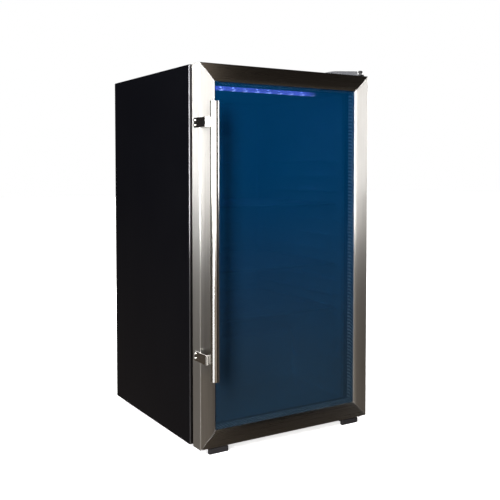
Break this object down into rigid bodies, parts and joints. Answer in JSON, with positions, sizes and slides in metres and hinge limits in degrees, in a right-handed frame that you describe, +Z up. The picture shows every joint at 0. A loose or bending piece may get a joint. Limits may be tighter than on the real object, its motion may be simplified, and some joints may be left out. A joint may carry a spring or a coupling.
{
  "type": "undercounter refrigerator",
  "caption": "Free-standing drinks refrigerator: black insulated cabinet, hinged glass door in a mitred steel frame with a bar handle, wire shelves inside and a compressor at the back.",
  "frame": {"origin": "on the floor, under the middle of the cabinet's width and of the whole object's depth, handle and condenser included", "axes": "+X to the right seen from the front, +Y to the back, +Z up; the door faces -Y"},
  "size_m": [0.4505, 0.5498, 0.8378],
  "materials": {
    "black_paint": "satin",
    "galvanised_steel": "satin",
    "liner_plastic": "satin",
    "insulation_foam": "matte",
    "foot_plastic": "matte",
    "zinc_steel": "satin",
    "black_plastic": "matte",
    "brushed_steel": "satin",
    "handle_steel": "gloss",
    "pane_glass": "gloss",
    "bare_aluminium": "satin",
    "seal_rubber": "matte",
    "shelf_wire": "gloss",
    "led_blue": "gloss",
    "lens_plastic": "gloss",
    "control_plastic": "satin",
    "compressor_paint": "satin",
    "copper": "satin"
  },
  "bodies": {
    "cabinet": {"outer_wrap": "black_paint", "base_plate": "galvanised_steel", "bay_panel": "galvanised_steel", "back_panel": "galvanised_steel", "liner": "liner_plastic", "drain_gutter": "liner_plastic", "drain_hose": "liner_plastic", "foam_insulation": "insulation_foam", "front_foot_left": "foot_plastic", "front_foot_right": "foot_plastic", "rear_foot_left": "foot_plastic", "rear_foot_right": "foot_plastic", "top_hinge_leaf": "zinc_steel", "top_hinge_bolt_1": "zinc_steel", "top_hinge_bolt_2": "zinc_steel", "lower_hinge_plate": "zinc_steel", "lower_hinge_pin": "zinc_steel", "top_hinge_pin": "black_plastic", "led_housing": "black_plastic", "relay_box": "black_plastic", "evaporation_tray": "black_plastic", "evaporator_plate": "bare_aluminium", "cord_gland": "seal_rubber", "compressor_grommet_1": "seal_rubber", "compressor_grommet_2": "seal_rubber", "compressor_grommet_3": "seal_rubber", "compressor_grommet_4": "seal_rubber", "led_board": "led_blue", "led_lens": "lens_plastic", "control_box": "control_plastic", "compressor": "compressor_paint", "condenser": "compressor_paint", "filter_drier": "copper", "discharge_pipe": "copper", "suction_pipe": "copper"},
    "door": {"door_rail_top": "brushed_steel", "door_rail_bottom": "brushed_steel", "door_stile_left": "brushed_steel", "door_stile_right": "brushed_steel", "door_core": "black_plastic", "glass_outer": "pane_glass", "glass_spacer": "bare_aluminium", "glass_inner": "pane_glass", "door_gasket": "seal_rubber", "handle_bar": "handle_steel", "handle_bracket_lower": "handle_steel", "handle_bracket_upper": "handle_steel", "handle_bar_screw_lower": "zinc_steel", "handle_bar_screw_upper": "zinc_steel", "handle_screw_1": "handle_steel", "handle_screw_2": "handle_steel", "handle_screw_3": "handle_steel", "handle_screw_4": "handle_steel", "hinge_bush_upper": "black_plastic", "hinge_bush_lower": "black_plastic"},
    "shelf_top": {"wire_shelf_1": "shelf_wire"},
    "shelf_middle": {"wire_shelf_2": "shelf_wire"},
    "shelf_bottom": {"wire_shelf_3": "shelf_wire"},
    "knob": {"thermostat_knob": "control_plastic"},
    "rocker": {"light_switch": "black_plastic"}
  },
  "joints": [
    {"name": "door_hinge", "type": "hinge", "parent": "cabinet", "child": "door", "pos_m": [0.2125, -0.2085, 0.419], "axis": [0, 0, 1], "range_deg": [0, 120]},
    {"name": "shelf_top_slide", "type": "slide", "parent": "cabinet", "child": "shelf_top", "axis": [0, -1, 0], "range_m": [0, 0.025]},
    {"name": "shelf_middle_slide", "type": "slide", "parent": "cabinet", "child": "shelf_middle", "axis": [0, -1, 0], "range_m": [0, 0.025]},
    {"name": "shelf_bottom_slide", "type": "slide", "parent": "cabinet", "child": "shelf_bottom", "axis": [0, -1, 0], "range_m": [0, 0.025]},
    {"name": "knob_turn", "type": "hinge", "parent": "cabinet", "child": "knob", "pos_m": [-0.1585, -0.052, 0.738], "axis": [1, 0, 0], "range_deg": [0, 270]},
    {"name": "switch_rock", "type": "hinge", "parent": "cabinet", "child": "rocker", "pos_m": [-0.1615, -0.052, 0.7], "axis": [0, 1, 0], "range_deg": [-18, 0]}
  ]
}
